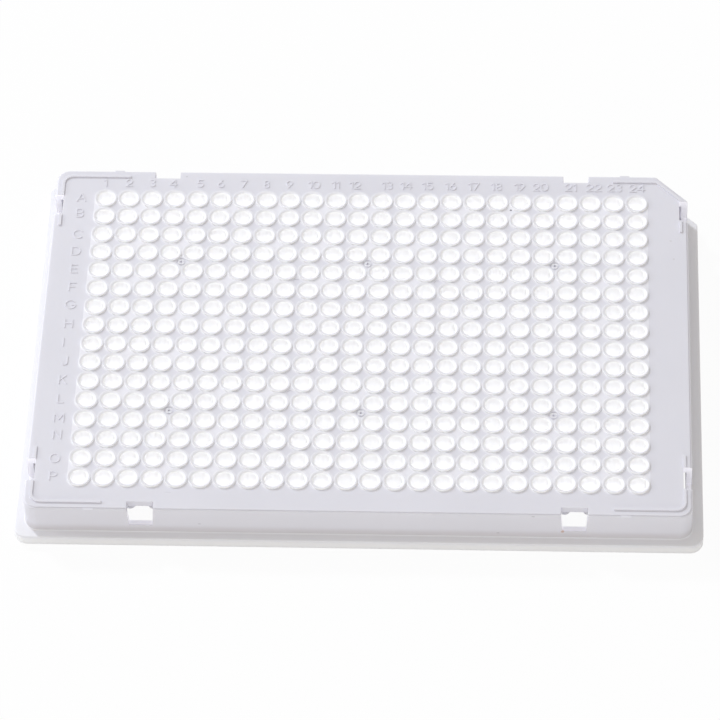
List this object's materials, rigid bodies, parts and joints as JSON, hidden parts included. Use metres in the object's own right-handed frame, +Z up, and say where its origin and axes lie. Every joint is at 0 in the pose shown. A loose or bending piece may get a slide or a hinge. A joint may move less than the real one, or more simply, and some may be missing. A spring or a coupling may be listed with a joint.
{
  "type": "384-well microplate",
  "caption": "Flat rectangular plate with a stepped skirt and a dense grid of small round wells, for holding liquid samples on a bench or in a plate reader.",
  "frame": {"origin": "on the resting surface, under the centre of the footprint and of the well grid", "axes": "+Z up, +X along the columns from 1 to 24, +Y towards row A"},
  "size_m": [0.1278, 0.0854, 0.0092],
  "materials": {
    "plate_plastic": "white moulded polypropylene, satin, letting some light through at the thin well walls"
  },
  "bodies": {
    "root": {"well_plate": "plate_plastic"}
  },
  "joints": []
}
